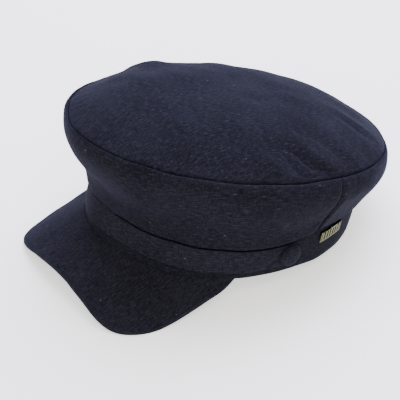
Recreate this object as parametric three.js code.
// A soft wool cap with a stand-up band, a buttoned strap and a small arched visor.
// All lengths are in millimetres. The wearer's left is +X, the visor points to -Y, and +Z is up.
// Each cloth piece is an outer skin, worked out as a grid of points, and a wall of even thickness
// behind it. The cap rests by itself on the visor's two corners and on the back of its band.

import * as THREE from "three";

// Clear space between pieces that touch.
const CLEARANCE = 0.3;

// Band: an oval wall that leans back as it rises.
const BAND_LENGTH = 207;
const BAND_WIDTH = 172.5;
const BAND_WALL = 2;
const BAND_LEAN_DEG = 9.5;
const BAND_HIDDEN = 5;

// Crown: its cloth, its widest oval, and how far inside that its top seam lies.
const CROWN_WALL = 1.8;
const WIDEST_LENGTH = 254;
const WIDEST_WIDTH = 202;
const WIDEST_BACK = 1.2;
const WIDEST_HEIGHT = 64;
const WIDEST_SAG = 3;
const TOP_END_INSET = 2.2;
const TOP_SIDE_INSET = 7.5;
const TOP_BACK = 2.4;
const TOP_HEIGHT = 75.3;
const TOP_SAG = 2.8;
const CROWN_RAKE_DEG = 8.1;
const DOME_RISE = 24;
const DOME_POWER = 3.6;
const TOP_FOLD_FADE = 12;

// Fold where the crown turns in over the band, at its lowest.
const FOLD_HEIGHT = 24;
const FOLD_ROLL = 2.4;

// Seams: the cloth is drawn in along them. The side has one behind each ear and one at the back.
const SEAM_GAP = 0.4;
const SEAM_DEPTH = 1.2;
const SEAM_EDGE_WIDTH = 6;
const SIDE_SEAM_TURN_DEG = 100;

// Strap, and the covered button over each of its ends.
const STRAP_HEIGHT = 18.2;
const STRAP_THICKNESS = 2;
const STRAP_BELOW_FOLD = 0.6;
const STRAP_END = 6;
const BUTTON_DIAMETER = 16.5;
const BUTTON_RISE = 4.6;
const BUTTON_RIM = 1.6;
const BUTTON_TURN_DEG = 87.3;
const BUTTON_HEIGHT = 14.6;

// Visor: a bent board, highest along its middle line.
const VISOR_THICKNESS = 3;
const VISOR_END_THICKNESS = 1.2;
const VISOR_END_LENGTH = 35;
const VISOR_END_TURN_DEG = 67.3;
const VISOR_END_WIDTH = 0.8;
const VISOR_REACH = 96.5;
const VISOR_TAPER = 2;
const VISOR_SQUARENESS = 4.5;
const VISOR_SLOPE_DEG = 22;
const VISOR_ARCH = 32;
const VISOR_ARCH_LOSS = 0.14;

// Name plate: a brass bar with a raised rim and slanting ribs.
const PLATE_LENGTH = 23.5;
const PLATE_HEIGHT = 6.5;
const PLATE_THICKNESS = 1;
const PLATE_RELIEF = 0.4;
const PLATE_RIM = 0.9;
const PLATE_BEVEL = 0.3;
const PLATE_RIBS = 7;
const PLATE_SLANT = 1.2;
const PLATE_TURN_DEG = 110;
const PLATE_MIDDLE = 19.2;

// How far the cloth is flattened where it rests.
const PRESS = 0.8;

// Height of the fold around the cap, as a share of its lowest height.
const FOLD_LINE = [
  { turn: 0, height: 1.28 },
  { turn: 30, height: 1.18 },
  { turn: 50, height: 1.04 },
  { turn: 68, height: 1.0 },
  { turn: 85, height: 1.04 },
  { turn: 105, height: 1.19 },
  { turn: 180, height: 1.22 },
];

// How far the side wall has swelled out at each share of its rise, at the front, beside the
// ears and at the back.
const SIDE_PROFILE = [
  { rise: 0, front: 0, beside: 0, back: 0 },
  { rise: 0.16, front: 0.06, beside: 0.12, back: 0.22 },
  { rise: 0.33, front: 0.18, beside: 0.3, back: 0.46 },
  { rise: 0.5, front: 0.38, beside: 0.5, back: 0.68 },
  { rise: 0.68, front: 0.69, beside: 0.72, back: 0.86 },
  { rise: 0.85, front: 0.89, beside: 0.9, back: 0.97 },
  { rise: 1, front: 1, beside: 1, back: 1 },
];

// Shoulder from the widest oval to the top seam: the share of the way, of the seam's depth, and
// of the cloth's thickness, which is pressed thinner at the seam.
const SHOULDER = [
  { way: 0.3, sink: 0, cloth: 1 },
  { way: 0.55, sink: 0, cloth: 0.85 },
  { way: 0.76, sink: 0.08, cloth: 0.55 },
  { way: 0.91, sink: 0.42, cloth: 0.45 },
  { way: 1, sink: 1, cloth: 0.45 },
];

// Rings of the top, from the seam inwards: the share of its radius, of the seam's depth, and of
// the cloth's thickness.
const TOP_RINGS = [
  { radius: 1, sink: 1, cloth: 0.45 },
  { radius: 0.99, sink: 0.42, cloth: 0.6 },
  { radius: 0.97, sink: 0.08, cloth: 0.85 },
  { radius: 0.93, sink: 0, cloth: 1 },
  { radius: 0.86, sink: 0, cloth: 1 },
  { radius: 0.77, sink: 0, cloth: 1 },
  { radius: 0.66, sink: 0, cloth: 1 },
  { radius: 0.53, sink: 0, cloth: 1 },
  { radius: 0.38, sink: 0, cloth: 1 },
  { radius: 0.2, sink: 0, cloth: 1 },
];

// Edge of a side seam: the share of the edge's width away from it, and of the seam's depth.
const SEAM_EDGE = [
  { away: 0, sink: 1 },
  { away: 0.17, sink: 0.42 },
  { away: 0.43, sink: 0.08 },
  { away: 1, sink: 0 },
];

// Folds (rise above zero) and hollows (below zero) of the top. The middle is in shares of half
// the top's width and length, the two reaches in shares of its width, the rise of the dome's.
const TOP_FOLDS = [
  { left: 0.9, back: -0.18, heading: 43, long: 0.07, wide: 0.045, rise: 0.05 },
  { left: 0.84, back: 0.04, heading: 46, long: 0.1, wide: 0.055, rise: -0.12 },
  { left: 0.8, back: 0.18, heading: 58, long: 0.1, wide: 0.05, rise: 0.07 },
  { left: 0.5, back: 0.62, heading: 20, long: 0.12, wide: 0.05, rise: 0.05 },
  { left: 0.5, back: 0.5, heading: 20, long: 0.11, wide: 0.05, rise: -0.04 },
  { left: -0.45, back: 0.6, heading: -20, long: 0.14, wide: 0.06, rise: -0.04 },
];

// Soft puckers of the side wall, near its back seams: reaches in degrees of turn and shares of
// the wall's rise, the push in shares of the cloth.
const SIDE_PUCKERS = [
  { turn: 92, rise: 0.3, broad: 5, tall: 0.25, push: -0.5 },
  { turn: 106, rise: 0.35, broad: 4, tall: 0.3, push: 0.5 },
  { turn: 113, rise: 0.5, broad: 4, tall: 0.35, push: -0.45 },
  { turn: -95, rise: 0.35, broad: 5, tall: 0.3, push: -0.5 },
  { turn: -110, rise: 0.4, broad: 5, tall: 0.3, push: 0.4 },
];

// Rows of the strap, from its lower edge up: the share of its height, and how far its rounded
// face sinks there as a share of its thickness.
const STRAP_ROWS = [
  { rise: 0, sink: 0.3 },
  { rise: 0.07, sink: 0.06 },
  { rise: 0.5, sink: 0 },
  { rise: 0.93, sink: 0.06 },
  { rise: 1, sink: 0.3 },
];

// Rounded tips of the strap: the share of the tip's length, and of the strap's height there.
const STRAP_TIP = [
  { along: 0, height: 1 },
  { along: 0.35, height: 0.94 },
  { along: 0.65, height: 0.79 },
  { along: 0.85, height: 0.59 },
  { along: 1, height: 0.32 },
];

// Rows of the visor, from its rim back to the band.
const VISOR_ROWS = [
  { back: 0 },
  { back: 0.03 },
  { back: 0.22 },
  { back: 0.45 },
  { back: 0.7 },
  { back: 1 },
];

// One rib of the plate: how far from its middle, as a share of the space from rib to rib, and
// how far its face sinks there as a share of the relief.
const PLATE_RIB = [
  { away: -0.32, sink: 1 },
  { away: -0.16, sink: 0 },
  { away: 0.16, sink: 0 },
  { away: 0.32, sink: 1 },
];

// How many steps each grid takes.
const ROUND_STEPS = 62;
const ROLL_STEPS = 4;
const BAND_STEPS = 2;
const VISOR_STEPS = 36;
const OUTLINE_STEPS = 288;
const STRAP_STEPS = 40;
const BUTTON_STEPS = 20;
const BUTTON_RIM_STEPS = 3;
const BUTTON_DOME_STEPS = 5;

const topLength = WIDEST_LENGTH - 2 * TOP_END_INSET;
const topWidth = WIDEST_WIDTH - 2 * TOP_SIDE_INSET;
const bandLean = Math.tan(THREE.MathUtils.degToRad(BAND_LEAN_DEG));
const crownRake = Math.tan(THREE.MathUtils.degToRad(CROWN_RAKE_DEG));
const buttonTurn = THREE.MathUtils.degToRad(BUTTON_TURN_DEG);
const plateTurn = THREE.MathUtils.degToRad(PLATE_TURN_DEG);
const visorEndTurn = THREE.MathUtils.degToRad(VISOR_END_TURN_DEG);
const sideSeamTurn = THREE.MathUtils.degToRad(SIDE_SEAM_TURN_DEG);

const wool = new THREE.MeshStandardMaterial({ name: "navy_wool", color: 0x1c2030, roughness: 0.95 });
const brass = new THREE.MeshStandardMaterial({
  name: "brass",
  color: 0xa08a4a,
  roughness: 0.35,
  metalness: 1,
});

// Helpers for tables and for spacing out the points of a grid.

// Reads one column of a table between its rows, on a smooth curve that is level at both ends.
function readTable(rows, placeName, columnName, place) {
  const last = rows.length - 1;
  let i = 0;
  while (i < last - 1 && rows[i + 1][placeName] < place) i += 1;
  const slopeAt = (k) => {
    if (k === 0 || k === last) return 0;
    const before = rows[k - 1];
    const after = rows[k + 1];
    return (after[columnName] - before[columnName]) / (after[placeName] - before[placeName]);
  };
  const span = rows[i + 1][placeName] - rows[i][placeName];
  const t = THREE.MathUtils.clamp((place - rows[i][placeName]) / span, 0, 1);
  const rise = rows[i + 1][columnName] - rows[i][columnName];
  const bend = (1 - t) * (slopeAt(i) * span - rise) + t * (rise - slopeAt(i + 1) * span);
  return rows[i][columnName] + t * rise + t * (1 - t) * bend;
}

// Evenly spaced numbers from first to last, both included.
function evenSteps(first, last, steps) {
  return Array.from({ length: steps + 1 }, (_, i) => first + ((last - first) * i) / steps);
}

// A bell-shaped bump, 1 at its middle.
function bump(...shares) {
  return Math.exp(-shares.reduce((sum, share) => sum + share * share, 0));
}

// A turn around the cap in degrees, from 0 at the front to 180 at the back on either side.
function degreesFromFront(turn) {
  const degrees = Math.abs(THREE.MathUtils.radToDeg(turn)) % 360;
  return degrees > 180 ? 360 - degrees : degrees;
}

// Makes one closed wall from a grid of points on its outer skin. Each row of the grid runs to
// the wearer's left at the front, and the rows go up. sinks, the same size, draws points in.
// options.round closes the rows into rings, and options.pole closes the last ring to a point.
// options.outward is one way out for the whole piece, where its ends are cut straight.
// options.flatBack leaves the inner skin where it is while the outer one is drawn in.
// The thickness is a number, or a function of the row and the column.
function wallFromSkin(skin, sinks, thickness, options = {}) {
  const rowCount = skin.length;
  const columnCount = skin[0].length;
  const wrap = (column) => (column + columnCount) % columnCount;
  const beside = (column, step) => {
    if (options.round) return wrap(column + step);
    return THREE.MathUtils.clamp(column + step, 0, columnCount - 1);
  };
  const thicknessAt = typeof thickness === "function" ? thickness : () => thickness;
  const outer = [];
  const inner = [];
  skin.forEach((row, r) => {
    row.forEach((point, c) => {
      const right = skin[r][beside(c, 1)].clone().sub(skin[r][beside(c, -1)]);
      const above = r + 1 < rowCount ? skin[r + 1][c] : options.pole ?? point;
      const up = above.clone().sub(skin[Math.max(r - 1, 0)][c]);
      const outward = options.outward ?? right.cross(up).normalize();
      const innerSink = options.flatBack ? 0 : sinks[r][c];
      outer.push(point.clone().addScaledVector(outward, -sinks[r][c]));
      inner.push(point.clone().addScaledVector(outward, -innerSink - thicknessAt(r, c)));
    });
  });
  const shift = outer.length;
  const at = (r, c) => r * columnCount + wrap(c);
  const triangles = [];
  const quad = (a, b, c, d) => triangles.push(a, b, c, a, c, d);
  const columnSteps = options.round ? columnCount : columnCount - 1;
  for (let c = 0; c < columnSteps; c += 1) {
    for (let r = 0; r + 1 < rowCount; r += 1) {
      quad(at(r, c), at(r, c + 1), at(r + 1, c + 1), at(r + 1, c));
      quad(shift + at(r, c + 1), shift + at(r, c), shift + at(r + 1, c), shift + at(r + 1, c + 1));
    }
    quad(at(0, c), shift + at(0, c), shift + at(0, c + 1), at(0, c + 1));
    if (options.pole) continue;
    const top = rowCount - 1;
    quad(at(top, c + 1), shift + at(top, c + 1), shift + at(top, c), at(top, c));
  }
  if (!options.round) {
    const end = columnCount - 1;
    for (let r = 0; r + 1 < rowCount; r += 1) {
      quad(at(r, 0), at(r + 1, 0), shift + at(r + 1, 0), shift + at(r, 0));
      quad(at(r + 1, end), at(r, end), shift + at(r, end), shift + at(r + 1, end));
    }
  }
  const points = [...outer, ...inner];
  if (options.pole) {
    const top = rowCount - 1;
    points.push(options.pole.clone());
    points.push(options.pole.clone().setZ(options.pole.z - thicknessAt(top, 0)));
    for (let c = 0; c < columnCount; c += 1) {
      triangles.push(at(top, c), at(top, c + 1), points.length - 2);
      triangles.push(shift + at(top, c + 1), shift + at(top, c), points.length - 1);
    }
  }
  const geometry = new THREE.BufferGeometry().setFromPoints(points);
  geometry.setIndex(triangles);
  geometry.computeVertexNormals();
  return geometry;
}

// A grid of zeros the size of a skin, for a wall that isn't drawn in.
function noSinks(skin) {
  return skin.map((row) => row.map(() => 0));
}

// Places on the cap.

// Height of the fold where the crown turns in over the band.
function foldHeight(turn) {
  return FOLD_HEIGHT * readTable(FOLD_LINE, "turn", "height", degreesFromFront(turn));
}

// A point on the band's outer face, or standing out from it.
function onBand(turn, height, out = 0) {
  const x = (BAND_WIDTH / 2 + out) * Math.sin(turn);
  const y = bandLean * height - (BAND_LENGTH / 2 + out) * Math.cos(turn);
  return new THREE.Vector3(x, y, height);
}

// The way out from the band's face.
function outOfBand(turn) {
  const along = new THREE.Vector3(
    (BAND_WIDTH / 2) * Math.cos(turn),
    (BAND_LENGTH / 2) * Math.sin(turn),
    0,
  );
  return along.cross(new THREE.Vector3(0, bandLean, 1)).normalize();
}

// The share of a turn that a length along the band's face takes at a place.
function turnForLength(turn, length) {
  const across = (BAND_WIDTH / 2) * Math.cos(turn);
  const forward = (BAND_LENGTH / 2) * Math.sin(turn);
  return length / Math.hypot(across, forward);
}

// A point on the crown's widest oval.
function onWidest(turn) {
  const forward = Math.cos(turn);
  const x = (WIDEST_WIDTH / 2) * Math.sin(turn);
  const y = WIDEST_BACK - (WIDEST_LENGTH / 2) * forward;
  return new THREE.Vector3(x, y, WIDEST_HEIGHT - crownRake * y - WIDEST_SAG * forward * forward);
}

// How far the folds and hollows raise the top at a place.
function topFoldRise(x, y) {
  return TOP_FOLDS.reduce((sum, fold) => {
    const heading = THREE.MathUtils.degToRad(fold.heading);
    const dx = x - (fold.left * topWidth) / 2;
    const dy = y - TOP_BACK - (fold.back * topLength) / 2;
    const along = dx * Math.cos(heading) + dy * Math.sin(heading);
    const across = dy * Math.cos(heading) - dx * Math.sin(heading);
    const shape = bump(along / (fold.long * topWidth), across / (fold.wide * topWidth));
    return sum + fold.rise * DOME_RISE * shape;
  }, 0);
}

// A point of the top at a share of its radius. gap moves it out across the seam.
function onTop(turn, radius, gap = 0) {
  const forward = radius * Math.cos(turn);
  const x = ((topWidth / 2) * radius + gap) * Math.sin(turn);
  const y = TOP_BACK - ((topLength / 2) * radius + gap) * Math.cos(turn);
  const dome = DOME_RISE * (1 - radius ** DOME_POWER);
  const folds = topFoldRise(x, y) * (1 - radius ** TOP_FOLD_FADE);
  const z = TOP_HEIGHT - crownRake * y - TOP_SAG * forward * forward + dome + folds;
  return new THREE.Vector3(x, y, z);
}

// The share of the way from the fold to the widest oval that the side wall has swelled out.
function sideSwell(turn, rise) {
  const forward = Math.cos(turn);
  const end = readTable(SIDE_PROFILE, "rise", forward > 0 ? "front" : "back", rise);
  return THREE.MathUtils.lerp(
    readTable(SIDE_PROFILE, "rise", "beside", rise),
    end,
    forward * forward,
  );
}

// How far the puckers push the side wall out at a place.
function puckerPush(turn, rise) {
  const degrees = THREE.MathUtils.radToDeg(turn);
  return SIDE_PUCKERS.reduce((sum, pucker) => {
    const away = THREE.MathUtils.euclideanModulo(degrees - pucker.turn + 180, 360) - 180;
    const shape = bump(away / pucker.broad, (rise - pucker.rise) / pucker.tall);
    return sum + pucker.push * CROWN_WALL * shape;
  }, 0);
}

// Pieces.

// The crown's side wall, from one turn to another: it rolls out from the band at the fold,
// flares to the widest oval, and rounds over to the top seam.
function crownSide(from, to, steps) {
  const gap = SEAM_GAP / 2;
  const edge = SEAM_EDGE.map(({ away, sink }) => ({ length: gap + away * SEAM_EDGE_WIDTH, sink }));
  const near = edge.map(({ length, sink }) => ({ turn: from + turnForLength(from, length), sink }));
  const far = edge.map(({ length, sink }) => ({ turn: to - turnForLength(to, length), sink }));
  const inside = evenSteps(near.at(-1).turn, far.at(-1).turn, steps).slice(1, -1);
  const columns = [...near, ...inside.map((turn) => ({ turn, sink: 0 })), ...far.reverse()];
  const skin = [];
  const sinks = [];
  const walls = [];
  const addRow = (place, sink = 0, cloth = 1) => {
    skin.push(columns.map(({ turn }) => place(turn)));
    sinks.push(columns.map((column) => SEAM_DEPTH * Math.max(sink, column.sink * cloth)));
    walls.push(CROWN_WALL * cloth);
  };
  const rollPoint = (turn, angle) => {
    const out = CLEARANCE + FOLD_ROLL * (1 + Math.cos(angle));
    return onBand(turn, foldHeight(turn) + FOLD_ROLL * (1 + Math.sin(angle)), out);
  };
  evenSteps(Math.PI, 2 * Math.PI, ROLL_STEPS).forEach((angle) => {
    addRow((turn) => rollPoint(turn, angle));
  });
  SIDE_PROFILE.slice(1).forEach(({ rise }) => {
    addRow((turn) => {
      const start = rollPoint(turn, 2 * Math.PI);
      const end = onWidest(turn);
      const point = start.clone().lerp(end, sideSwell(turn, rise));
      point.z = THREE.MathUtils.lerp(start.z, end.z, rise);
      return point.addScaledVector(outOfBand(turn), puckerPush(turn, rise));
    });
  });
  SHOULDER.forEach(({ way, sink, cloth }) => {
    const shoulderPoint = (turn) => {
      const start = onWidest(turn);
      const end = onTop(turn, 1, gap);
      const point = start.clone().lerp(end, 1 - Math.cos((way * Math.PI) / 2));
      point.z = THREE.MathUtils.lerp(start.z, end.z, Math.sin((way * Math.PI) / 2));
      return point;
    };
    addRow(shoulderPoint, sink, cloth);
  });
  return wallFromSkin(skin, sinks, (row) => walls[row]);
}

// The oval top, from its seam to its middle.
function crownTop() {
  const gap = SEAM_GAP / 2;
  const turns = evenSteps(0, 2 * Math.PI, ROUND_STEPS).slice(0, -1);
  const skin = TOP_RINGS.map(({ radius }) => turns.map((turn) => onTop(turn, radius, -gap)));
  const sinks = TOP_RINGS.map(({ sink }) => turns.map(() => SEAM_DEPTH * sink));
  const wallAt = (row) => CROWN_WALL * TOP_RINGS[row].cloth;
  return wallFromSkin(skin, sinks, wallAt, { round: true, pole: onTop(0, 0) });
}

// The band, from its lower edge to just above the fold.
function band() {
  const turns = evenSteps(0, 2 * Math.PI, ROUND_STEPS).slice(0, -1);
  const skin = evenSteps(0, 1, BAND_STEPS).map((share) =>
    turns.map((turn) => onBand(turn, share * (foldHeight(turn) + BAND_HIDDEN))),
  );
  return wallFromSkin(skin, noSinks(skin), BAND_WALL, { round: true });
}

// The strap, a rounded tape just under the fold, its back flat and its tips under the buttons.
function strap() {
  const tipEnd = buttonTurn + turnForLength(buttonTurn, STRAP_END);
  const tipStart = buttonTurn - turnForLength(buttonTurn, STRAP_END / 2);
  const tip = STRAP_TIP.map(({ along, height }) => ({
    turn: THREE.MathUtils.lerp(tipStart, tipEnd, along),
    height,
  }));
  const otherTip = tip.map(({ turn, height }) => ({ turn: -turn, height })).reverse();
  const between = evenSteps(-tipStart, tipStart, STRAP_STEPS).slice(1, -1);
  const columns = [...otherTip, ...between.map((turn) => ({ turn, height: 1 })), ...tip];
  const out = CLEARANCE + STRAP_THICKNESS;
  const skin = STRAP_ROWS.map(({ rise }) =>
    columns.map(({ turn, height }) => {
      const middle = foldHeight(turn) - STRAP_BELOW_FOLD - STRAP_HEIGHT / 2;
      return onBand(turn, middle + (rise - 0.5) * STRAP_HEIGHT * height, out);
    }),
  );
  const sinks = STRAP_ROWS.map(({ sink }) => columns.map(() => sink * STRAP_THICKNESS));
  return wallFromSkin(skin, sinks, STRAP_THICKNESS, { flatBack: true });
}

// A covered button: a low dome over a rounded rim, its back flat.
function button() {
  const radius = BUTTON_DIAMETER / 2;
  const rim = evenSteps(-Math.PI / 2, 0, BUTTON_RIM_STEPS).map(
    (angle) =>
      new THREE.Vector2(
        radius - BUTTON_RIM * (1 - Math.cos(angle)),
        BUTTON_RIM * (1 + Math.sin(angle)),
      ),
  );
  const dome = evenSteps(0, Math.PI / 2, BUTTON_DOME_STEPS)
    .slice(1, -1)
    .map(
      (angle) =>
        new THREE.Vector2(
          radius * Math.cos(angle),
          BUTTON_RIM + (BUTTON_RISE - BUTTON_RIM) * Math.sin(angle),
        ),
    );
  const profile = [
    new THREE.Vector2(0, 0),
    ...rim,
    ...dome,
    new THREE.Vector2(0, BUTTON_RISE),
  ];
  return new THREE.LatheGeometry(profile, BUTTON_STEPS);
}

// Height of the visor's upper face at a place.
function visorHeight(x, y, end) {
  const forward = end.y - y;
  const across = x / end.x;
  const arch = VISOR_ARCH * (1 - across * across) * (1 - (VISOR_ARCH_LOSS * forward) / VISOR_REACH);
  return arch - forward * Math.tan(THREE.MathUtils.degToRad(VISOR_SLOPE_DEG));
}

// The visor, from its rim back to the band, thinning out towards its two ends.
function visor() {
  const end = onBand(visorEndTurn, 0, CLEARANCE + VISOR_END_WIDTH);
  const power = 2 / VISOR_SQUARENESS;
  const outline = evenSteps(-Math.PI / 2, Math.PI / 2, OUTLINE_STEPS).map((angle) => {
    const forward = Math.max(Math.cos(angle), 0) ** power;
    const across = Math.sign(Math.sin(angle)) * Math.abs(Math.sin(angle)) ** power;
    const halfWidth = end.x - VISOR_TAPER * forward;
    return new THREE.Vector2(halfWidth * across, end.y - VISOR_REACH * forward);
  });
  const rimCurve = new THREE.SplineCurve(outline);
  const rim = rimCurve.getSpacedPoints(VISOR_STEPS);
  const rootTurns = evenSteps(-visorEndTurn, visorEndTurn, VISOR_STEPS);
  const skin = VISOR_ROWS.map(({ back }) =>
    rim.map((rimPoint, i) => {
      const root = onBand(rootTurns[i], 0, CLEARANCE);
      const x = THREE.MathUtils.lerp(rimPoint.x, root.x, back);
      const y = THREE.MathUtils.lerp(rimPoint.y, root.y, back);
      return new THREE.Vector3(x, y, visorHeight(x, y, end));
    }),
  );
  const outward = new THREE.Vector3(0, 0, 1);
  const stepLength = rimCurve.getLength() / VISOR_STEPS;
  const thickness = (row, i) => {
    const fromEnd = Math.min(i, VISOR_STEPS - i) * stepLength;
    const share = Math.min(fromEnd / VISOR_END_LENGTH, 1);
    return THREE.MathUtils.lerp(VISOR_END_THICKNESS, VISOR_THICKNESS, share);
  };
  return wallFromSkin(skin, noSinks(skin), thickness, { outward });
}

// The name plate: a bar that follows the band, with a rim round a sunk field of slanting ribs.
function namePlate() {
  const rimAlong = PLATE_RIM / PLATE_LENGTH;
  const fieldAlong = (PLATE_RIM + PLATE_BEVEL) / PLATE_LENGTH;
  const rimUp = PLATE_RIM / PLATE_HEIGHT;
  const fieldUp = (PLATE_RIM + PLATE_BEVEL) / PLATE_HEIGHT;
  const ribPitch = (1 - 2 * rimAlong) / (PLATE_RIBS + 1);
  const ribMiddles = evenSteps(rimAlong, 1 - rimAlong, PLATE_RIBS + 1).slice(1, -1);
  const columns = [
    { along: 0, sink: 0, slant: 0 },
    { along: rimAlong, sink: 0, slant: 0 },
    { along: fieldAlong, sink: 1, slant: 0 },
    ...ribMiddles.flatMap((ribMiddle) =>
      PLATE_RIB.map(({ away, sink }) => ({
        along: ribMiddle + away * ribPitch,
        sink,
        slant: PLATE_SLANT,
      })),
    ),
    { along: 1 - fieldAlong, sink: 1, slant: 0 },
    { along: 1 - rimAlong, sink: 0, slant: 0 },
    { along: 1, sink: 0, slant: 0 },
  ];
  const rows = [
    { rise: 0, sink: 0 },
    { rise: rimUp, sink: 0 },
    { rise: fieldUp, sink: 1 },
    { rise: 1 - fieldUp, sink: 1 },
    { rise: 1 - rimUp, sink: 0 },
    { rise: 1, sink: 0 },
  ];
  const out = CLEARANCE + PLATE_THICKNESS;
  const skin = rows.map(({ rise }) =>
    columns.map(({ along, slant }) => {
      const length = (along - 0.5) * PLATE_LENGTH + slant * (rise - 0.5);
      const turn = plateTurn + turnForLength(plateTurn, length);
      return onBand(turn, PLATE_MIDDLE + (rise - 0.5) * PLATE_HEIGHT, out);
    }),
  );
  const sinks = rows.map((row) => columns.map((column) => PLATE_RELIEF * row.sink * column.sink));
  return wallFromSkin(skin, sinks, PLATE_THICKNESS, { flatBack: true });
}

// Resting.

// The pitch at which the visor's lowest corners and the back of the band share one floor.
function restPitch(visorGeometry) {
  const points = visorGeometry.getAttribute("position");
  let pitch = 0;
  for (let i = 0; i < points.count; i += 1) {
    pitch = Math.max(pitch, Math.atan2(-points.getZ(i), BAND_LENGTH / 2 - points.getY(i)));
  }
  return pitch;
}

// Flattens a piece where it would reach below the floor on which the pitched cap rests.
function flattenOnFloor(geometry, pitch) {
  const points = geometry.getAttribute("position");
  const floor = PRESS - (BAND_LENGTH / 2) * Math.sin(pitch);
  for (let i = 0; i < points.count; i += 1) {
    const floorZ = (floor + points.getY(i) * Math.sin(pitch)) / Math.cos(pitch);
    if (points.getZ(i) < floorZ) points.setZ(i, floorZ);
  }
  geometry.computeVertexNormals();
  return geometry;
}

// The assembled cap.

function addPiece(group, name, geometry, material) {
  const mesh = new THREE.Mesh(geometry, material.clone());
  mesh.name = name;
  group.add(mesh);
  return mesh;
}

function addButton(group, name, side) {
  const mesh = addPiece(group, name, button(), wool);
  const turn = side * buttonTurn;
  const out = outOfBand(turn);
  mesh.position.copy(onBand(turn, BUTTON_HEIGHT));
  mesh.position.addScaledVector(out, STRAP_THICKNESS + 2 * CLEARANCE);
  mesh.quaternion.setFromUnitVectors(new THREE.Vector3(0, 1, 0), out);
}

const cap = new THREE.Group();
const visorGeometry = visor();
const pitch = restPitch(visorGeometry);
const sideSteps = Math.round((ROUND_STEPS * SIDE_SEAM_TURN_DEG) / 180);
const backSteps = Math.round((ROUND_STEPS - sideSteps) / 2);

addPiece(cap, "crown_top", crownTop(), wool);
addPiece(cap, "crown_side_front", crownSide(-sideSeamTurn, sideSeamTurn, sideSteps), wool);
addPiece(cap, "crown_back_left", crownSide(sideSeamTurn, Math.PI, backSteps), wool);
addPiece(cap, "crown_back_right", crownSide(-Math.PI, -sideSeamTurn, backSteps), wool);
addPiece(cap, "band", flattenOnFloor(band(), pitch), wool);
addPiece(cap, "visor", flattenOnFloor(visorGeometry, pitch), wool);
addPiece(cap, "strap", strap(), wool);
addButton(cap, "button_left", 1);
addButton(cap, "button_right", -1);
addPiece(cap, "name_plate", namePlate(), brass);

// The cap tips back until it rests, and its origin is under the middle of its outline.
cap.rotation.x = -pitch;
const model = new THREE.Group();
model.add(cap);
model.updateMatrixWorld(true);
const outlineBox = new THREE.Box3().setFromObject(model, true);
const middle = outlineBox.getCenter(new THREE.Vector3());
model.position.set(-middle.x, -middle.y, -outlineBox.min.z);

export default model;
